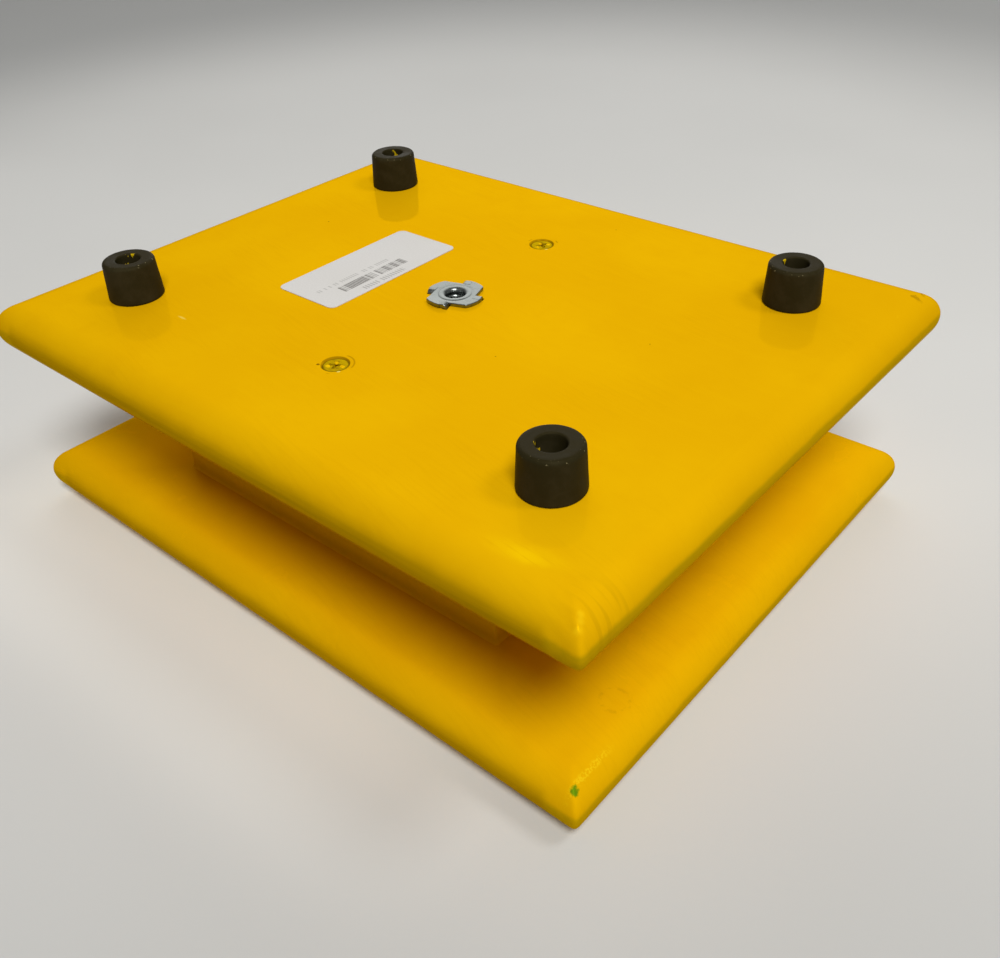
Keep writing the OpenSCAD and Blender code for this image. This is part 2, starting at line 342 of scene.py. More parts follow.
def block_enamel():
    """One thin coat over sawn wood, so that saw lines show through."""
    s = Shader("block_enamel", specular=0.0)
    tinted_gloss(s, 0.5)
    saw = s.noise(1.0, 2.0, s.stretch((90, 90, 900)))
    thin = s.noise(45, 4.0, rough=0.65)
    colour = s.mix(s.ease(thin, 0.35, 0.7), (0.70, 0.37, 0.001), (0.67, 0.35, 0.001))
    colour = s.mix(s.ease(saw, 0.55, 0.75, 0, 0.2), colour, (0.62, 0.32, 0.002))
    s.set(base_color=colour, normal=s.bump(saw, 0.06 * MM), roughness=s.ease(thin, 0.3, 0.7, 0.2, 0.4))
    return s.material


def rubber(name, foot_low, foot_high, paint_angle):
    """Cloudy moulded rubber, darker on its end, with enamel in the bore and pale specks on the rim."""
    s = Shader(name, specular=0.045, specular_tint=(1.0, 0.86, 0.5))
    centre = (foot_low + foot_high) / 2
    bloom = s.noise(160, 4.0, rough=0.6)
    fine = s.noise(2600, 2.0)
    mould = s.noise(1.0, 2.0, s.stretch((900, 900, 60)))
    colour = s.mix(s.ease(bloom, 0.35, 0.7), (0.023, 0.019, 0.007), (0.033, 0.027, 0.012))
    facing = s.node("ShaderNodeNewGeometry").outputs["Normal"]
    up = s.node("ShaderNodeSeparateXYZ", {0: facing}).outputs[2]
    # The end that faces up is made a little darker
    darker_end = s.both(s.ease(up, 0.5, 0.98), s.ease(fine, 0.3, 0.7, 0.6, 1.0))
    colour = s.over(colour, darker_end, 0.5, (0.020, 0.015, 0.005))
    # Enamel that ran down the bore's wall, on one side only
    axis_gap = s.far((centre.x, centre.y, 0), (1, 1, 0))
    in_bore = s.ease(axis_gap, 4.3 * MM, 4.5 * MM, 1, 0)
    run = s.noise(1.0, 3.0, s.stretch((520, 520, 260)), rough=0.65)
    deep = s.ease(s.axis(2), foot_high.z - 6.5 * MM, foot_high.z - 2.0 * MM, 0.25, 0.0)
    side = Vector((math.cos(paint_angle), math.sin(paint_angle), 0)) * FOOT_BORE_R * MM
    side_gap = s.far((centre.x + side.x, centre.y + side.y, 0), (1, 1, 0))
    near_side = s.ease(side_gap, 1.0 * MM, 4.6 * MM, 0.45, 0.0)
    amount = s.math("ADD", s.math("ADD", run, near_side), deep)
    paint = s.both(in_bore, s.ease(amount, 0.97, 1.02))
    colour = s.mix(paint, colour, (0.62, 0.42, 0.003))
    # Pale specks along the rim
    rim = s.math("ABSOLUTE", s.math("SUBTRACT", axis_gap, 8.2 * MM))
    specks = s.both(s.ease(rim, 0.2 * MM, 0.9 * MM, 1, 0), s.ease(s.noise(1500, 1.0), 0.69, 0.74))
    specks = s.both(specks, s.ease(s.axis(2), foot_high.z - 1.4 * MM, foot_high.z - 0.7 * MM))
    colour = s.over(colour, specks, 0.6, (0.36, 0.31, 0.16))
    s.set(base_color=colour, roughness=s.ease(bloom, 0.3, 0.7, 0.42, 0.62))
    s.set(normal=s.bump(fine, 0.02 * MM, s.bump(mould, 0.03 * MM)))
    return s.material


def plated(name, dark, light, roughness, grain=500):
    """Plated steel: cloudy plate, fine scratches and patches of darker grime."""
    s = Shader(name, metallic=1.0)
    cloud = s.noise(grain, 4.0, rough=0.65)
    scratches = s.noise(1.0, 2.0, s.stretch((3000, 160, 160)))
    colour = s.mix(s.ease(cloud, 0.3, 0.7), dark, light)
    grime = s.ease(s.noise(grain * 0.45, 3.0), 0.62, 0.75, 0, 0.5)
    colour = s.mix(grime, colour, tuple(0.35 * c for c in dark))
    worn = s.ease(cloud, 0.3, 0.7, roughness - 0.07, roughness + 0.09)
    s.set(base_color=colour, roughness=worn, normal=s.bump(scratches, 0.006 * MM, s.bump(cloud, 0.02 * MM)))
    return s.material


def painted_screw():
    """A steel head under a thin dragged coat of enamel: olive where it is thin, with painted shade round the
    rim.
    """
    s = Shader("painted_screw", specular=0.0)
    tinted_gloss(s, 0.9)
    coat = s.noise(420, 3.0, rough=0.6)
    streak = s.noise(1.0, 3.0, s.stretch((300, 1500, 800)))
    colour = s.mix(s.ease(streak, 0.35, 0.7), (0.44, 0.285, 0.0015), (0.54, 0.36, 0.002))
    colour = s.mix(s.ease(coat, 0.52, 0.66, 0, 0.7), colour, (0.26, 0.16, 0.004))
    # Painted shade in the crevice round each head's rim
    for end in ENDS:
        rim = s.ring(middle_of(f"base_screw_{end}") * Vector((1, 1, 0)), 4.2 * MM, 0.75 * MM, (1, 1, 0))
        colour = s.over(colour, rim, 0.75, (0.13, 0.08, 0.002))
    s.set(base_color=colour, roughness=s.ease(coat, 0.3, 0.7, 0.18, 0.36), normal=s.bump(coat, 0.06 * MM))
    return s.material


def thick_enamel():
    """The board's enamel where it stands in lumps on a screw head."""
    s = Shader("thick_enamel", specular=0.0)
    tinted_gloss(s, 1.0)
    tone = s.noise(500, 2.0)
    s.set(base_color=s.mix(s.ease(tone, 0.35, 0.65), (0.78, 0.44, 0.001), (0.90, 0.56, 0.003)))
    s.set(roughness=s.ease(tone, 0.3, 0.7, 0.08, 0.18), normal=s.bump(tone, 0.03 * MM))
    return s.material


def label_paper():
    """White label stock with generic marks: rows of plain ticks and a strip of random bars."""
    s = Shader("label_paper", roughness=0.55, specular=0.25)
    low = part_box("label")[0]
    fibre = s.noise(1800, 3.0)
    shade = s.noise(40, 2.0)
    colour = s.mix(s.ease(fibre, 0.3, 0.7), (0.63, 0.615, 0.595), (0.67, 0.655, 0.635))
    colour = s.mix(s.ease(shade, 0.4, 0.7, 0, 0.3), colour, (0.62, 0.60, 0.57))

    def cells(width, seed):
        """A random value for each cell of that width along the label."""
        step = s.math("FLOOR", s.math("DIVIDE", s.axis(1), width))
        inputs = {"W": s.math("ADD", step, seed)}
        return s.node("ShaderNodeTexWhiteNoise", inputs, noise_dimensions="1D").outputs[0]

    def band(x_from, x_to, y_from, y_to):
        """1 inside a rectangle measured from the label's low corner."""
        across = s.both(
            s.ease(s.axis(0), low.x + (x_from - 0.1) * MM, low.x + (x_from + 0.1) * MM),
            s.ease(s.axis(0), low.x + (x_to - 0.1) * MM, low.x + (x_to + 0.1) * MM, 1, 0),
        )
        run = s.both(
            s.math("GREATER_THAN", s.axis(1), low.y + y_from * MM),
            s.math("LESS_THAN", s.axis(1), low.y + y_to * MM),
        )
        return s.both(across, run)

    def ticks(width, share, seed, keep):
        """Even strokes across the label, with a random few left out."""
        inside = s.math("FRACT", s.math("DIVIDE", s.axis(1), width))
        return s.both(s.math("LESS_THAN", inside, share), s.math("GREATER_THAN", cells(width, seed), keep))

    heavy = s.math("GREATER_THAN", cells(1.8 * MM, 14), 0.5)
    thick = s.both(heavy, s.math("MULTIPLY", ticks(0.9 * MM, 0.78, 5, 0.05), 0.72))
    thin = s.math("MULTIPLY", ticks(0.9 * MM, 0.5, 7, 0.08), 0.5)
    bars = s.both(band(17.7, 22.2, 11.2, 43.1), s.any(thick, thin))
    names = s.both(band(13.9, 15.8, 5, 38.4), s.math("MULTIPLY", ticks(1.05 * MM, 0.5, 3, 0.16), 0.3))
    count = s.both(band(24.0, 26.4, 17.1, 36.7), s.math("MULTIPLY", ticks(1.2 * MM, 0.5, 9, 0.05), 0.4))
    ink = s.any(bars, s.any(names, count))
    top_only = s.ease(s.axis(2), low.z + 0.1 * MM, low.z + 0.15 * MM)
    colour = s.mix(s.both(ink, top_only), colour, (0.06, 0.052, 0.04))
    s.set(base_color=colour, normal=s.bump(fibre, 0.004 * MM))
    return s.material


def floor_paper():
    """Pale paper with painted shade that falls off to grey far behind the object, and painted light round the
    board.
    """
    s = Shader("floor_paper", roughness=0.75, specular=0.2)
    # Painted shade: the paper fades to grey far from the object
    away = s.far((-0.20, 0.22, 0))
    fade = s.ease(away, 0.30, 0.66)
    colour = s.mix(s.ease(s.noise(5, 2.0), 0.3, 0.7), (0.68, 0.68, 0.665), (0.70, 0.70, 0.685))
    colour = s.mix(fade, colour, (0.43, 0.435, 0.43))
    # A little paler round the board, as in the photograph
    # Painted light: a pale warm glow round the board
    painted_glow = s.ease(s.past("playing_board"), 5 * MM, 70 * MM, 0.8, 0.0)
    painted_light = s.both(painted_glow, s.ease(s.axis(0), 20 * MM, 120 * MM, 1.0, 0.15))
    s.set(base_color=s.mix(painted_light, colour, (0.85, 0.84, 0.80)))
    s.set(normal=s.bump(s.noise(420, 3.0), 0.03 * MM))
    return s.material


# -------------------- mesh building


def skin(rings, loop=False):
    """Vertices and faces of a closed shell through rings of equal length; a ring of one point is a pole.
    With loop the last ring joins the first, otherwise open ends are closed by flat faces."""
    vertices, starts, faces = [], [], []
    for ring in rings:
        starts.append(len(vertices))
        vertices.extend(tuple(map(float, point)) for point in ring)
    pairs = list(zip(range(len(rings) - 1), range(1, len(rings))))
    if loop:
        pairs.append((len(rings) - 1, 0))
    for a, b in pairs:
        na, nb, sa, sb = len(rings[a]), len(rings[b]), starts[a], starts[b]
        for i in range(max(na, nb)):
            j = (i + 1) % max(na, nb)
            if na == 1:
                faces.append((sa, sb + j, sb + i))
            elif nb == 1:
                faces.append((sa + i, sa + j, sb))
            else:
                faces.append((sa + i, sa + j, sb + j, sb + i))
    if not loop:
        for k in (0, len(rings) - 1):
            if len(rings[k]) > 1:
                faces.append(tuple(starts[k] + i for i in range(len(rings[k]))))
    return vertices, faces


def polar(centre, angle, radius, rise):
    """The point at that angle and radius about an upright axis, and that far above the centre."""
    return (centre.x + radius * math.cos(angle), centre.y + radius * math.sin(angle), centre.z + rise)


def turned(profile, centre, steps=64, sign=1):
    """Rings of a turned shape about an upright axis, from (radius, height) pairs in millimetres.
    With sign -1 it is upside down."""
    angles = np.linspace(0, 2 * math.pi, steps, endpoint=False)
    rings = []
    for radius, height in profile:
        rise = height * MM * sign
        if radius <= 0:
            rings.append([(centre.x, centre.y, centre.z + rise)])
        else:
            rings.append([polar(centre, a, radius * MM, rise) for a in angles])
    return rings


def arc(centre, radius, start, end, steps):
    """Points of an arc in (radius, height) space, angles in degrees."""
    angles = np.radians(np.linspace(start, end, steps))
    return [(centre[0] + radius * math.cos(a), centre[1] + radius * math.sin(a)) for a in angles]


def build(name, shells, material=None):
    """One mesh object from one or more closed shells, with its normals turned outwards."""
    vertices, faces = [], []
    for shell_vertices, shell_faces in shells:
        start = len(vertices)
        vertices.extend(shell_vertices)
        faces.extend(tuple(start + i for i in face) for face in shell_faces)
    mesh = bpy.data.meshes.new(name)
    mesh.from_pydata(vertices, [], faces)
    work = bmesh.new()
    work.from_mesh(mesh)
    bmesh.ops.recalc_face_normals(work, faces=work.faces)
    work.to_mesh(mesh)
    work.free()
    made = bpy.data.objects.new(name, mesh)
    bpy.context.scene.collection.objects.link(made)
    if material:
        mesh.materials.append(material)
    return made


def combine(target, shells, operation):
    """Cuts the shells out of target, or joins them to it."""
    tool = build("tool", shells)
    modifier = target.modifiers.new("combine", "BOOLEAN")
    modifier.object = tool
    modifier.operation = operation
    modifier.solver = "EXACT"
    graph = bpy.context.evaluated_depsgraph_get()
    mesh = bpy.data.meshes.new_from_object(target.evaluated_get(graph))
    target.modifiers.clear()
    target.data = mesh
    bpy.data.objects.remove(tool)
    return target


def tidy(piece, angle=35):
    """Merges doubled points, and shades the piece smooth apart from its real edges."""
    work = bmesh.new()
    work.from_mesh(piece.data)
    bmesh.ops.remove_doubles(work, verts=work.verts, dist=1e-7)
    bmesh.ops.dissolve_degenerate(work, edges=work.edges, dist=1e-7)
    work.to_mesh(piece.data)
    work.free()
    piece.data.shade_smooth()
    piece.data.set_sharp_from_angle(angle=math.radians(angle))
    return piece


def place(piece, nodes):
    """Puts a finished piece on the object in place of its CAD nodes."""
    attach(piece, "root")
    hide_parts(*nodes)
    return piece


def ripple(x, y, length, seed):
    """Smooth repeatable unevenness between -1 and 1, with waves of about that length."""
    total = 0
    for k in range(5):
        turn = seed + k * 2.4
        pace = 2 * math.pi / length * (0.7 + 0.22 * k)
        total = total + np.sin(pace * (x * math.cos(turn) + y * math.sin(turn)) + seed * 7.3 + k * 1.9)
    return total / 5


# -------------------- boards


def across_board(half, radius):
    """Places of the grid lines: equal angles round both edges, fine steps near them, coarse ones between."""
    flat = half - radius
    bend = [flat + radius * math.sin(math.pi / 2 * i / ARC_STEPS) for i in range(1, ARC_STEPS + 1)]
    inner = flat - FINE_MARGIN
    fine = np.linspace(inner, flat, round(FINE_MARGIN / FINE_STEP) + 1)[1:]
    coarse = np.linspace(-inner, inner, round(2 * inner / COARSE_STEP) + 1)
    side = [*fine, *bend]
    return np.array([*(-v for v in reversed(side)), *coarse, *side])


def board_shell(node, relief):
    """Half-round edged board with softened mitres. relief(x, y) says how deep the paint dips, in metres."""
    low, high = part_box(node)
    centre, half = (low + high) / 2, (high - low) / 2
    radius = half.z
    x, y = np.meshgrid(across_board(half.x, radius), across_board(half.y, radius), indexing="ij")
    u = np.maximum(np.abs(x) - (half.x - radius), 0)
    v = np.maximum(np.abs(y) - (half.y - radius), 0)
    out = np.minimum(np.maximum(u, v), radius)
    norm = (u**MITRE_POWER + v**MITRE_POWER) ** (1 / MITRE_POWER)
    norm = np.where(norm > 0, norm, 1)
    shrink = np.where(out > 0, out / norm, 1)
    rise = np.sqrt(np.maximum(radius**2 - out**2, 0))
    lean_x = np.sign(x) * (u / norm) ** (MITRE_POWER - 1) * out / radius
    lean_y = np.sign(y) * (v / norm) ** (MITRE_POWER - 1) * out / radius
    flat_x = np.sign(x) * (np.minimum(np.abs(x), half.x - radius) + u * shrink)
    flat_y = np.sign(y) * (np.minimum(np.abs(y), half.y - radius) + v * shrink)
    dip = relief(flat_x + centre.x, flat_y + centre.y)
    px = centre.x + flat_x - lean_x * dip
    py = centre.y + flat_y - lean_y * dip
    border = np.zeros(x.shape, bool)
    border[[0, -1], :] = True
    border[:, [0, -1]] = True
    vertices = []
    index = {}
    for face in (1, -1):
        pz = centre.z + face * (rise - dip * rise / radius)
        ids = np.zeros(x.shape, int)
        for spot in np.ndindex(x.shape):
            if face == -1 and border[spot]:
                ids[spot] = index[1][spot]
                continue
            ids[spot] = len(vertices)
            vertices.append((px[spot], py[spot], pz[spot]))
        index[face] = ids
    return vertices, board_faces(index, x, y, u, v)


def board_faces(index, x, y, u, v):
    """Squares over both faces of a board, split along the mitre at its corners."""
    columns, rows = x.shape
    faces = []
    for ids in index.values():
        for i in range(columns - 1):
            for j in range(rows - 1):
                a, b, c, d = ids[i, j], ids[i + 1, j], ids[i + 1, j + 1], ids[i, j + 1]
                corner = min(u[i, j] + u[i + 1, j], v[i, j] + v[i, j + 1]) > 0
                if not corner:
                    faces.append((a, b, c, d))
                elif x[i, j] * y[i, j] > 0:
                    faces.extend([(a, b, c), (a, c, d)])
                else:
                    faces.extend([(a, b, d), (b, c, d)])
    return [tuple(map(int, f)) for f in faces]


def base_relief(x, y):
    """Slow unevenness everywhere, and ridges where a loaded brush went round the front right corner."""
    low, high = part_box("base_board")
    dip = 0.03 * MM * (1 + ripple(x, y, 34 * MM, 1.3)) + 0.008 * MM * (1 + ripple(x, y, 11 * MM, 0.4))
    from_corner = y - low.y
    on_end = np.clip((x - high.x + 16 * MM) / (6 * MM), 0, 1)
    fade = np.exp(-((from_corner - 9 * MM) ** 2) / (2 * (6.5 * MM) ** 2)) * on_end
    slanted = from_corner + 0.35 * (x - high.x)
    ridges = 1 + np.sin(2 * math.pi * slanted / (3.1 * MM) + 2 * ripple(x, y, 9 * MM, 2.2))
    return dip + 0.085 * MM * fade * ridges


def playing_relief(x, y):
    return 0.03 * MM * (1 + ripple(x, y, 38 * MM, 2.6)) + 0.008 * MM * (1 + ripple(x, y, 12 * MM, 1.1))


def screw_hole(spot, sign):
    """Cutter for a countersunk hole that paint has softened; sign 1 opens upwards, -1 downwards."""
    profile = [(0, 2), (5.9, 2), (CRATER_R, 0.0), (5.0, -0.09), (4.45, -0.2), (4.3, -0.45)]
    profile += [(2.2, -3.75), (2.2, -25), (0, -25)]
    return skin(turned(profile, spot, 72, sign))


def pilot_hole(spot, radius, depth, rise):
    return skin(turned([(0, rise), (radius, rise), (radius, -depth), (0, -depth - radius)], spot, 32))


def nut_slots(centre):
    """Cutters for the nut's barrel and its four prongs."""
    shells = [skin(turned([(0, 5), (4.05, 5), (4.05, -30), (0, -30)], centre))]
    for k in range(4):
        turn = Matrix.Rotation(NUT_TURN + k * math.pi / 2, 3, "Z")
        corners = ((6.9, -0.5), (10.1, -0.5), (10.1, 1.25), (6.9, 1.25))
        rings = [[centre + turn @ Vector((x, y, z)) * MM for x, y in corners] for z in (3, -7.4)]
        shells.append(skin(rings))
    return shells


def make_boards():
    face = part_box("base_board")[1].z
    base = build("base_board_painted", [board_shell("base_board", base_relief)])
    cutters = nut_slots(above("t_nut", face))
    cutters += [screw_hole(above(f"base_screw_{end}", face), 1) for end in ENDS]
    cutters += [pilot_hole(above(f"foot_{c}", face), radius=1.75, depth=15.5, rise=2) for c in CORNERS]
    combine(base, cutters, "DIFFERENCE")
    base.data.materials.append(enamel("base_enamel", "base_board", haze=0.035, marks=base_marks))
    place(tidy(base), ["base_board"])

    playing = build("playing_board_painted", [board_shell("playing_board", playing_relief)])
    combine(playing, [screw_hole(above(f"playing_screw_{side}", 0), -1) for side in SIDES], "DIFFERENCE")
    playing.data.materials.append(enamel("playing_enamel", "playing_board", haze=0.2, marks=playing_marks))
    place(tidy(playing), ["playing_board"])


def rounded_outline(half_x, half_y):
    """Points round a rectangle with eased corners, starting from its right side."""
    corner_r, corner_steps, side_steps = 1.2 * MM, 5, 24
    flat_x, flat_y = half_x - corner_r, half_y - corner_r
    side_ends = ((-flat_x, half_y), (-half_x, -flat_y), (flat_x, -half_y), (half_x, flat_y))
    points = []
    for k, (sx, sy) in enumerate(((1, 1), (-1, 1), (-1, -1), (1, -1))):
        for i in range(corner_steps):
            a = math.pi / 2 * (k + i / (corner_steps - 1))
            points.append((sx * flat_x + corner_r * math.cos(a), sy * flat_y + corner_r * math.sin(a)))
        (from_x, from_y), (to_x, to_y) = points[-1], side_ends[k]
        for i in range(1, side_steps):
            t = i / side_steps
            points.append((from_x + (to_x - from_x) * t, from_y + (to_y - from_y) * t))
    return points


def make_block():
    """Sawn block with eased corners, and a bead of paint where it meets each board."""
    low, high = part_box("spacer_block")
    centre, half = (low + high) / 2, (high - low) / 2
    levels = [(0, 0.9), (0.25, 0.5), (0.6, 0.22), (1.1, 0.05), (1.8, 0)]
    height = (high.z - low.z) / MM
    levels += [(z, 0) for z in np.linspace(4, height - 4, 12)]
    levels += [(height - z, grow) for z, grow in reversed(levels[:5])]
    rings = []
    for z, grow in levels:
        ring = []
        for x, y in rounded_outline(half.x + grow * MM, half.y + grow * MM):
            keep = 1 - 0.0006 * (1 + ripple(x + z * MM, y - z * MM, 40 * MM, 0.8))
            ring.append((centre.x + x * keep, centre.y + y * keep, low.z + z * MM))
        rings.append(ring)
    block = build("spacer_block_painted", [skin(rings)])
    screws = [(f"base_screw_{end}", high.z, 1) for end in ENDS]
    screws += [(f"playing_screw_{side}", low.z, -1) for side in SIDES]
    shank = [(0, 2), (2.3, 2), (2.3, -27), (0, -29)]
    combine(block, [skin(turned(shank, above(node, z), 32, sign)) for node, z, sign in screws], "DIFFERENCE")
    block.data.materials.append(block_enamel())
    place(tidy(block, 30), ["spacer_block"])


# -------------------- stand nut


def flange_columns():
    """Angles of the nut's columns with the flange's radius at each: four lobes and four notches."""
    flange_r, root_r = 10.2 * MM, 7.4 * MM
    columns = []
    for k in range(4):
        start = 90 * k
        for angle in np.linspace(44, 82.1, 13):
            columns.append((start + angle, flange_r))
        for angle, radius in ((82.4, 9.3), (82.7, 8.4)):
            columns.append((start + angle, radius * MM))
        for angle in np.linspace(83.0, 132.5, 13):
            columns.append((start + angle, root_r / math.cos(math.radians(angle - 90))))
    angles = np.radians([a for a, r in columns]) + NUT_TURN
    return angles, np.array([r for a, r in columns])


def nut_rings(centre):
    """The nut as one shell: up the threaded bore, over the mouth and flange, and down the barrel outside."""
    angles, outline = flange_columns()
    barrel_r, barrel_l = 3.95, 14.0
    from_lifted = (angles - LIFTED_LOBE + math.pi) % (2 * math.pi) - math.pi
    lobe = np.exp(-(from_lifted**2) / (2 * 0.42**2))
    lift = 0.42 * lobe + 0.05

    def ring(radius, height):
        """radius is in millimetres, a number or one value for each column; height likewise."""
        radius = np.broadcast_to(radius, angles.shape)
        height = np.broadcast_to(height, angles.shape)
        bend = lift * np.clip((radius - 5.8) / 4.4, 0, 1) ** 1.5
        return [polar(centre, a, r * MM, h * MM) for a, r, h in zip(angles, radius, height + bend)]

    edge = outline / MM
    pitch = THREAD_PITCH
    rings = []
    for z in np.arange(-barrel_l + 0.2, -0.2, pitch / 10):
        phase = (z / pitch - angles / (2 * math.pi)) % 1
        crest = np.clip(1 - np.abs(phase - 0.5) / 0.42, 0, 1)
        fade = min(1, (z + barrel_l) / pitch, max(0.0, (-0.2 - z) / pitch))
        rings.append(ring(3.17 - 0.42 * crest * fade, z))
    rings += [ring(r, z) for r, z in arc((4.5, -0.1), 1.38, 176, 95, 10)]
    mouth = ((4.7, 1.29), (5.25, 1.3), (5.5, 1.27), (5.68, 1.2), (5.86, 1.14), (6.05, 1.17), (6.3, 1.2))
    rings += [ring(r, z) for r, z in mouth]
    for t in (0.3, 0.6, 0.85):
        rings.append(ring(6.3 + (edge - 0.28 - 6.3) * t, 1.2))
    rim = ((0.28, 1.2), (0.13, 1.17), (0.04, 1.08), (0.0, 0.94), (0.0, 0.2), (0.06, 0.05), (0.2, 0.0))
    rings += [ring(edge - inset, z) for inset, z in rim]
    rings += [ring(5.8, 0.0), ring(4.2, 0.0), ring(barrel_r, -0.25)]
    rings += [ring(barrel_r, z) for z in np.linspace(-2, -barrel_l + 0.3, 6)]
    rings += [ring(barrel_r - 0.08, -barrel_l + 0.08), ring(barrel_r - 0.25, -barrel_l), ring(3.3, -barrel_l)]
    return rings


def prong(centre, k, lift):
    """Strip that leaves a lobe's end, turns down through a tight bend and tapers to a point in the wood."""
    turn = Matrix.Rotation(NUT_TURN + k * math.pi / 2, 3, "Z")
    near, far, thick, inner = 7.15, 9.85, 1.24, 0.15
    pivot_y, pivot_z = -0.4, -0.15
    stations = [((-2.3, pivot_z + inner + thick - 0.02), (-2.3, pivot_z + inner + 0.02), 0)]
    for a in np.radians(np.linspace(90, 0, 8)):
        outer = (pivot_y + (inner + thick) * math.cos(a), pivot_z + (inner + thick) * math.sin(a))
        tight = (pivot_y + inner * math.cos(a), pivot_z + inner * math.sin(a))
        stations.append((outer, tight, 0))
    for z, narrow in ((-1.2, 0.1), (-3.5, 0.5), (-5.8, 0.9), (-6.9, 1.12)):
        taper = max(0, (-z - 5.5) / 1.5) * 0.45
        stations.append(((pivot_y + inner + thick - taper, z), (pivot_y + inner + taper * 0.3, z), narrow))
    rings = []
    for (oy, oz), (iy, iz), narrow in stations:
        rise = lift * max(0.0, min(1.0, (oz + 2) / 2))
        a, b, e = near + narrow, far - narrow, 0.14
        my, mz = oy + (iy - oy) * 0.12, oz + (iz - oz) * 0.12
        points = [(a, my, mz), (a + e, oy, oz), (b - e, oy, oz), (b, my, mz), (b, iy, iz), (a, iy, iz)]
        rings.append([centre + turn @ Vector((x, y, z + rise)) * MM for x, y, z in points])
    return skin(rings)


def make_nut(zinc):
    centre = above("t_nut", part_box("base_board")[1].z)
    nut = build("t_nut_plated", [skin(nut_rings(centre), loop=True)])
    combine(nut, [prong(centre, k, 0.34 if k == 3 else 0.05) for k in range(4)], "UNION")
    nut.data.materials.append(zinc)
    place(tidy(nut, 32), ["t_nut"])


# -------------------- feet and fasteners


def foot_profile(base_r, height):
    """Heel, tapered side, soft rim, slightly sunken end, eased mouth, bore and floor."""
    top_r, floor, screw_r, rim_r, heel_r = base_r - 0.6, 3.6, 1.6, 1.3, 0.6
    profile = [(screw_r, 0), (base_r * 0.5, 0), (base_r - heel_r - 0.6, 0)]
    profile += arc((base_r - heel_r, heel_r), heel_r, -90, 0, 6)
    for t in np.linspace(0, 1, 12)[1:-1]:
        profile.append((base_r + (top_r - base_r) * t, heel_r + (height - rim_r - heel_r) * t))
    profile += arc((top_r - rim_r, height - rim_r), rim_r, 3, 90, 9)
    profile += [(6.6, height - 0.03), (5.8, height - 0.06), (5.0, height - 0.06)]
    profile += arc((FOOT_BORE_R + 0.55, height - 0.62), 0.55, 90, 180, 6)
    profile += [(FOOT_BORE_R, z) for z in np.linspace(height - 1.4, floor + 0.4, 7)]
    return profile + [(FOOT_BORE_R - 0.12, floor + 0.1), (FOOT_BORE_R - 0.4, floor), (screw_r, floor)]


def uneven_foot(profile, centre, seed):
    """Rings of the foot with shallow dents, which narrow its outside and widen its bore."""
    rings = []
    for (radius, height), ring in zip(profile, turned(profile, centre, 96)):
        points = []
        for x, y, z in ring:
            angle = math.atan2(y - centre.y, x - centre.x)
            lobes = 0.02 * (1 + math.sin(3 * angle + seed))
            dent = lobes + 0.012 * (1 + math.sin(11 * angle + 0.9 * height + seed))
            if radius < 5:
                dent = -0.6 * dent
            keep = 1 - dent / max(radius, 1)
            points.append((centre.x + (x - centre.x) * keep, centre.y + (y - centre.y) * keep, z))
        rings.append(points)
    return rings


def make_foot(corner):
    """Tapered rubber bumper."""
    node = f"foot_{corner}"
    low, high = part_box(node)
    profile = foot_profile((high.x - low.x) / 2 / MM, (high.z - low.z) / MM)
    rings = uneven_foot(profile, above(node, low.z), 0.7 + CORNERS.index(corner))
    material = rubber(f"foot_rubber_{corner}", low, high, math.radians(PAINT_SIDES[corner]))
    foot = build(f"foot_{corner}_rubber", [skin(rings, loop=True)], material)
    place(tidy(foot, 50), [node])


def screw_rings(profile, centre, sign, shank_r, core_r, thread_r, start, length, steps=32):
    """A screw that points down for sign 1: turned head and shank, then a helical thread to the point.
    The thread's start and the whole length are measured from the head's top, in millimetres."""
    angles = np.linspace(0, 2 * math.pi, steps, endpoint=False)
    rings = turned(profile, centre, steps, -sign)
    pitch = WOOD_THREAD_PITCH
    for depth in np.arange(start, length, pitch / 8):
        thin = min(1, (length - depth) / 4)
        phase = (depth / pitch - angles / (2 * math.pi)) % 1
        crest = np.clip(1 - np.abs(phase - 0.5) / 0.22, 0, 1)
        begin = min(1, (depth - start) / pitch)
        radius = (core_r + (thread_r - core_r) * crest * begin) * max(thin, 0.08)
        if depth - start < 0.5 * pitch:
            radius = np.maximum(radius, shank_r + (core_r - shank_r) * (depth - start) / (0.5 * pitch))
        rings.append([polar(centre, a, r * MM, -depth * MM * sign) for a, r in zip(angles, radius)])
    rings.append([(centre.x, centre.y, centre.z - length * MM * sign)])
    return rings


def cross_cutter(centre, sign, turn, length, width, depth):
    """Tapered cross-shaped driver recess."""
    spin = Matrix.Rotation(turn, 2)
    rings = []
    for level, shrink in ((0.8, 1.12), (0, 1.0), (-depth * 0.6, 0.8), (-depth, 0.45)):
        a, b = length / 2 * shrink, width / 2 * (0.5 + 0.5 * shrink)
        outline = [(a, -b), (a, b), (b, b)]
        for _ in range(9):  # each arm is the one before it, turned a quarter
            x, y = outline[-3]
            outline.append((-y, x))
        ring = []
        for point in outline:
            x, y = spin @ Vector(point)
            ring.append((centre.x + x * MM, centre.y + y * MM, centre.z + level * MM * sign))
        rings.append(ring)
    return skin(rings)


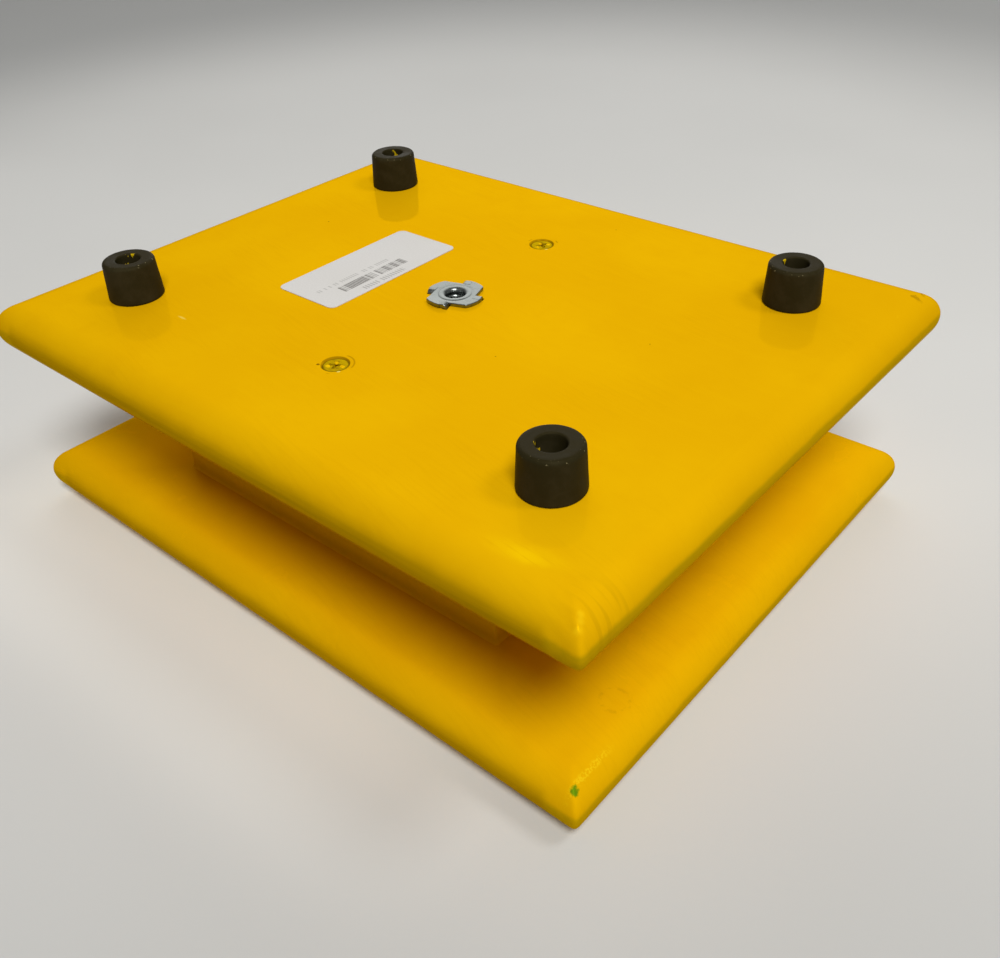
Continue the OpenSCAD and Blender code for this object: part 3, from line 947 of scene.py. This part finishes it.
def paint_dabs(centre, sign, turn):
    """Three flat lumps of enamel that the brush left on a screw head."""
    shells = []
    for k, (reach, angle, size) in enumerate(((2.3, -0.2, 0.95), (2.4, 3.6, 0.95), (1.35, 1.75, 0.75))):
        spot = centre + Vector((math.cos(angle + turn), math.sin(angle + turn), 0)) * reach * MM
        profile = [(0, -0.3), (size, -0.3), (size * 1.04, -0.05)]
        profile += [(size * 0.85, 0.1), (size * 0.5, 0.2), (0, 0.24)]
        uneven = []
        for ring in turned(profile, spot, 20, sign):
            points = []
            for i, (x, y, z) in enumerate(ring):
                grow_x = 1 + 0.18 * math.sin(3 * i * math.pi / 10 + k * 2 + turn)
                grow_y = 0.85 + 0.12 * math.cos(2 * i * math.pi / 10 + k)
                points.append((spot.x + (x - spot.x) * grow_x, spot.y + (y - spot.y) * grow_y, z))
            uneven.append(points)
        shells.append(skin(uneven))
    return shells


def make_board_screw(node, sign, turn, material, lumps):
    """Countersunk screw, painted over with the board."""
    low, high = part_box(node)
    centre = above(node, high.z if sign > 0 else low.z)
    profile = [(0, -0.03), (2.0, -0.02), (3.4, 0.0), (3.95, 0.05), (4.16, 0.16), (4.2, 0.3), (4.1, 0.5)]
    profile += [(2.35, 2.95), (2.1, 3.3), (2.1, 12), (2.1, 21.7)]
    thread = {"shank_r": 2.1, "core_r": 1.45, "thread_r": 2.1, "start": 21.8, "length": 45}
    screw = build(node + "_head_and_thread", [skin(screw_rings(profile, centre, sign, **thread))])
    combine(screw, [cross_cutter(centre, sign, turn, length=4.6, width=1.15, depth=1.5)], "DIFFERENCE")
    screw.data.materials.append(material)
    place(tidy(screw, 38), [node])
    dabs = build(node + "_paint_dabs", paint_dabs(centre, sign, turn), lumps)
    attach(tidy(dabs, 60), "root")


def make_foot_screw(corner, turn, material):
    """Pan-head screw in the bottom of a foot's bore."""
    node = f"foot_screw_{corner}"
    centre = above(node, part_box(node)[1].z)
    profile = [(0, 0.0), (1.6, 0.03), (2.5, 0.22), (3.1, 0.6), (3.42, 1.15), (3.5, 1.8)]
    profile += [(3.45, 2.36), (3.3, 2.4), (1.45, 2.4), (1.45, 3.4)]
    thread = {"shank_r": 1.45, "core_r": 1.1, "thread_r": 1.6, "start": 3.5, "length": 21.4}
    screw = build(node + "_steel", [skin(screw_rings(profile, centre, 1, **thread))])
    combine(screw, [cross_cutter(centre, 1, turn, length=3.6, width=0.95, depth=1.5)], "DIFFERENCE")
    screw.data.materials.append(material)
    place(tidy(screw, 38), [node])


def make_washer(corner, material):
    """Stamped washer with one rolled edge."""
    node = f"foot_washer_{corner}"
    low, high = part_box(node)
    outer, hole, thick = (high.x - low.x) / 2 / MM, 1.9, (high.z - low.z) / MM
    profile = [(hole, 0), (outer - 0.08, 0), (outer, 0.08), (outer, thick - 0.3)]
    profile += arc((outer - 0.3, thick - 0.3), 0.3, 20, 90, 5) + [(hole + 0.2, thick), (hole, thick - 0.15)]
    washer = build(node + "_steel", [skin(turned(profile, above(node, low.z)), loop=True)])
    washer.data.materials.append(material)
    place(tidy(washer), [node])


# -------------------- stage


def make_stage():
    size = FLOOR_HALF
    corners = [(-size, -size, 0), (size, -size, 0), (size, size, 0), (-size, size, 0)]
    mesh = bpy.data.meshes.new("floor")
    mesh.from_pydata(corners, [], [(0, 1, 2, 3)])
    mesh.materials.append(floor_paper())
    floor = bpy.data.objects.new("floor", mesh)
    bpy.context.scene.collection.objects.link(floor)


def area_light(name, position, target, size, power, colour):
    data = bpy.data.lights.new(name, "AREA")
    data.shape = "DISK"
    data.size = size
    data.energy = power
    data.color = colour
    light = bpy.data.objects.new(name, data)
    bpy.context.scene.collection.objects.link(light)
    light.location = position
    light.rotation_euler = (Vector(position) - Vector(target)).to_track_quat("Z", "Y").to_euler()
    return light


def make_world():
    """A dim pale room with one broad bright patch low down behind the object, as the camera sees it."""
    world = bpy.data.worlds.new("room")
    bpy.context.scene.world = world
    world.use_nodes = True
    nodes, links = world.node_tree.nodes, world.node_tree.links
    nodes.clear()
    sharpness = 12.0
    coordinate = nodes.new("ShaderNodeTexCoord")
    dot = nodes.new("ShaderNodeVectorMath")
    dot.operation = "DOT_PRODUCT"
    dot.inputs[1].default_value = toward(azimuth=131, elevation=23, distance=1.0)
    links.new(coordinate.outputs["Generated"], dot.inputs[0])
    value = dot.outputs["Value"]
    # brightness = 1.8 * exp(sharpness * (cosine - 1)) + 0.16
    steps = (("SUBTRACT", 1.0), ("MULTIPLY", sharpness), ("EXPONENT", 0.0), ("MULTIPLY", 1.8), ("ADD", 0.16))
    for operation, number in steps:
        step = nodes.new("ShaderNodeMath")
        step.operation = operation
        step.inputs[1].default_value = number
        links.new(value, step.inputs[0])
        value = step.outputs[0]
    background = nodes.new("ShaderNodeBackground")
    background.inputs["Color"].default_value = (1.0, 0.99, 0.97, 1)
    links.new(value, background.inputs["Strength"])
    output = nodes.new("ShaderNodeOutputWorld")
    links.new(background.outputs[0], output.inputs[0])


def toward(azimuth, elevation, distance):
    """A point seen from the object at that azimuth and elevation, in degrees from +X and from the floor."""
    a, e = math.radians(azimuth), math.radians(elevation)
    return Vector((math.cos(a) * math.cos(e), math.sin(a) * math.cos(e), math.sin(e))) * distance


def make_lights():
    aim = Vector((0, 0, 0.05))
    area_light("key", toward(321, 56, 2.4), aim, size=0.86, power=40.0, colour=(1.0, 0.99, 0.965))
    side = area_light("side", toward(32, 56, 2.4), aim, size=0.65, power=10.5, colour=(1.0, 0.99, 0.97))
    side.visible_glossy = False


# -------------------- assembly

zinc = plated("zinc_plate", (0.17, 0.19, 0.18), (0.29, 0.315, 0.305), 0.30)
steel = plated("washer_steel", (0.30, 0.30, 0.29), (0.42, 0.42, 0.41), 0.38)
passivated = plated("screw_steel", (0.34, 0.32, 0.26), (0.45, 0.42, 0.33), 0.32)
over_paint = painted_screw()
lumps = thick_enamel()

make_boards()
make_block()
make_nut(zinc)
for number, corner in enumerate(CORNERS):
    make_foot(corner)
    make_washer(corner, steel)
    make_foot_screw(corner, 0.4 + 0.7 * number, passivated)
for number, end in enumerate(ENDS):
    make_board_screw(f"base_screw_{end}", 1, 0.45 + 0.6 * number, over_paint, lumps)
for number, side in enumerate(SIDES):
    make_board_screw(f"playing_screw_{side}", -1, 0.2 + 0.9 * number, over_paint, lumps)

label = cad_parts["label"]
label.data.materials.clear()
label.data.materials.append(label_paper())

make_stage()
make_world()
make_lights()
bpy.context.scene.view_settings.view_transform = "Standard"
bpy.context.scene.view_settings.look = "None"

bpy.context.view_layer.update()
